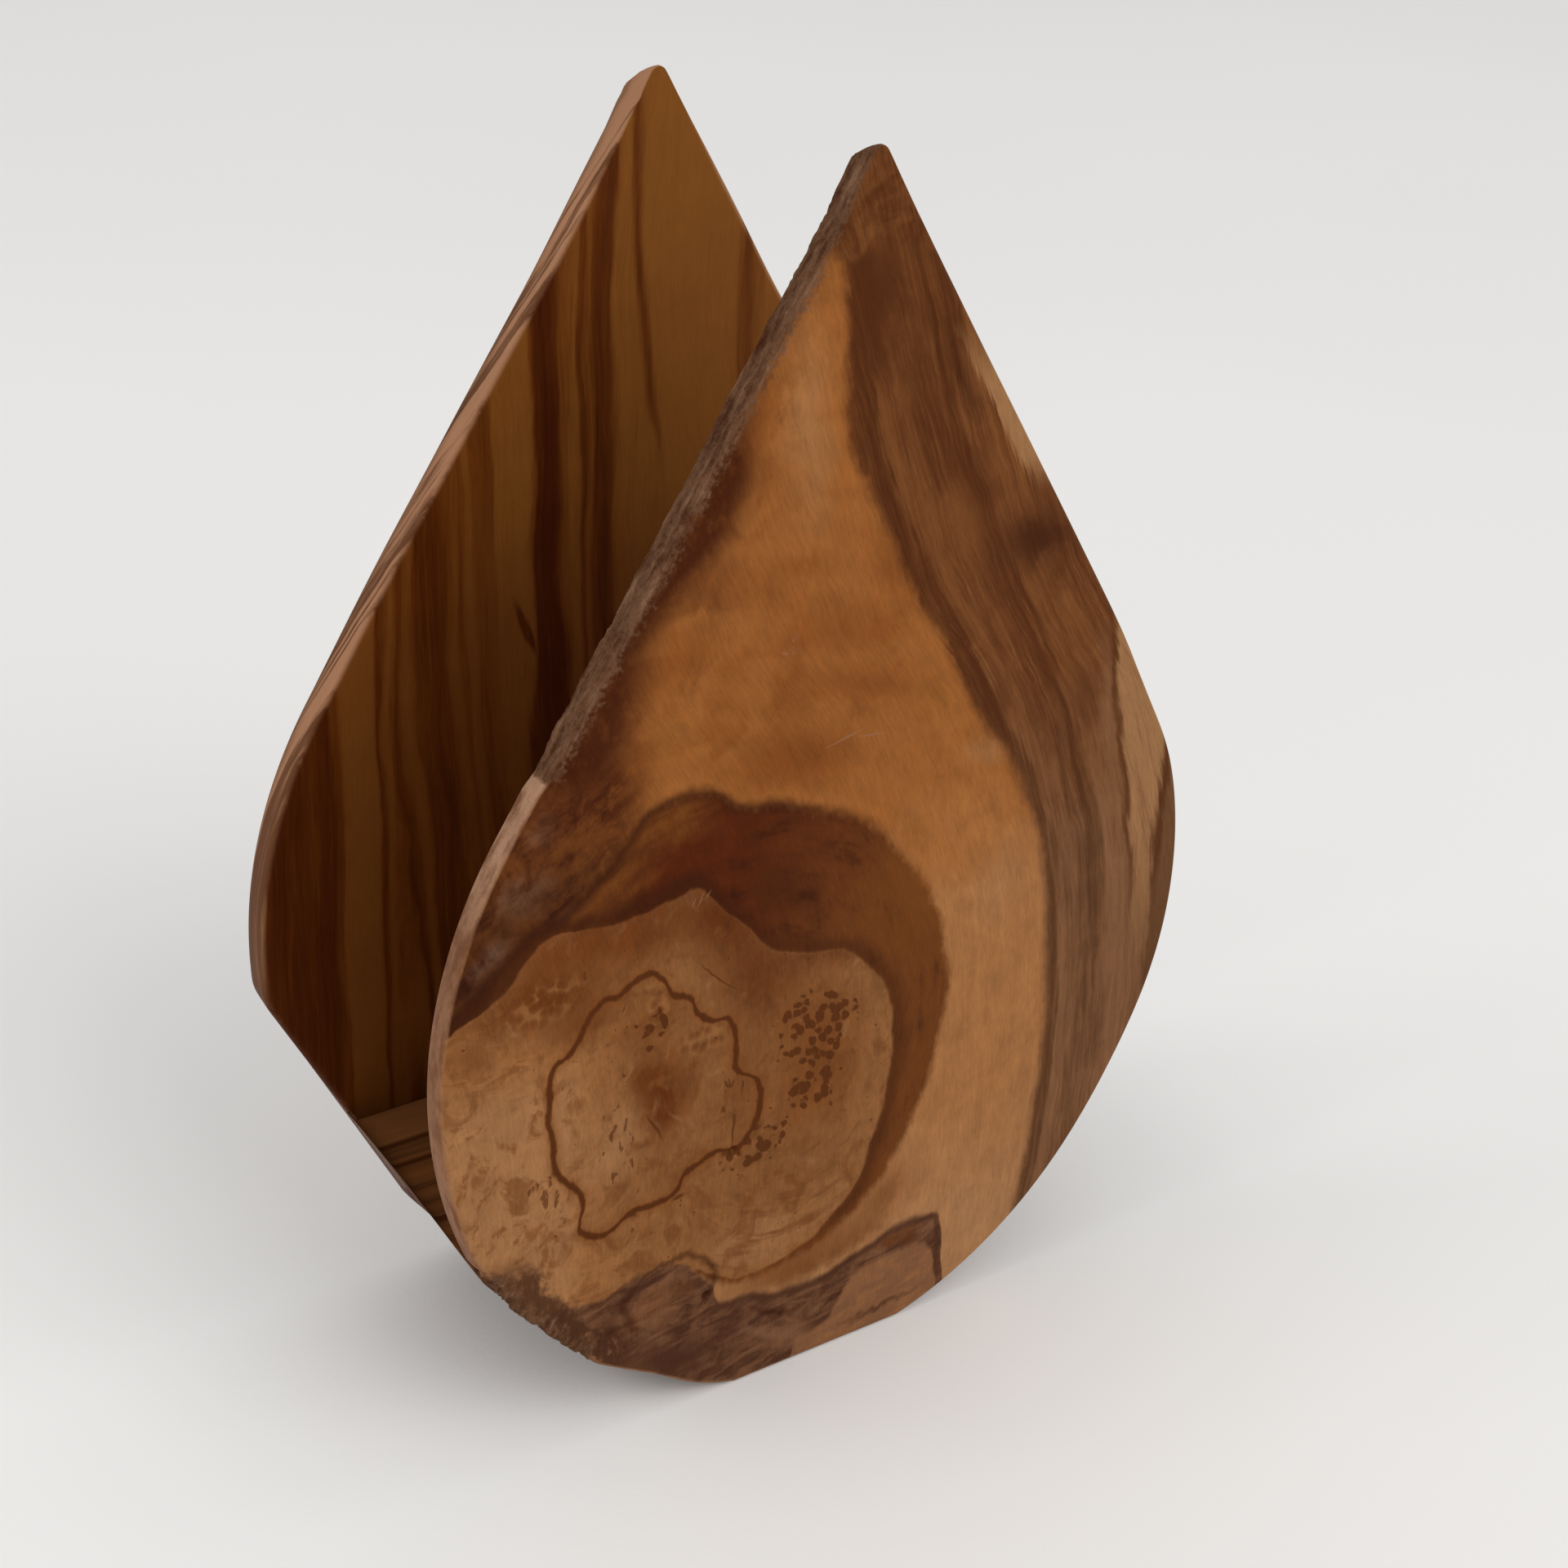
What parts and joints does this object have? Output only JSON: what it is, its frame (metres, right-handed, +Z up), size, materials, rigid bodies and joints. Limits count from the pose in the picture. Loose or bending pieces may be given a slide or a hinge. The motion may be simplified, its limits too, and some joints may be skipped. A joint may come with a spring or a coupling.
{
  "type": "napkin holder",
  "caption": "Wooden napkin holder: two parallel drop-shaped plates glued to a low block that keeps them apart.",
  "frame": {"origin": "on the table, under the middle of the holder's box", "axes": "+Z up; +X to the right as seen from the front; +Y from the front plate to the back plate"},
  "size_m": [0.107, 0.0446, 0.15],
  "materials": {
    "figured_olive_wood": "sanded and oiled olive wood, satin, with burl figure, dark heartwood and a strip of live edge",
    "striped_olive_wood": "sanded and oiled olive wood, satin, with upright ochre and dark brown stripes",
    "block_olive_wood": "sanded and oiled olive wood, satin, with the grain running across the holder",
    "dried_glue": "thin dried wood glue, dull, seen only as a hairline"
  },
  "bodies": {
    "root": {"front_plate": "figured_olive_wood", "glue_film_front": "dried_glue", "base_block": "block_olive_wood", "glue_film_back": "dried_glue", "back_plate": "striped_olive_wood"}
  },
  "joints": []
}
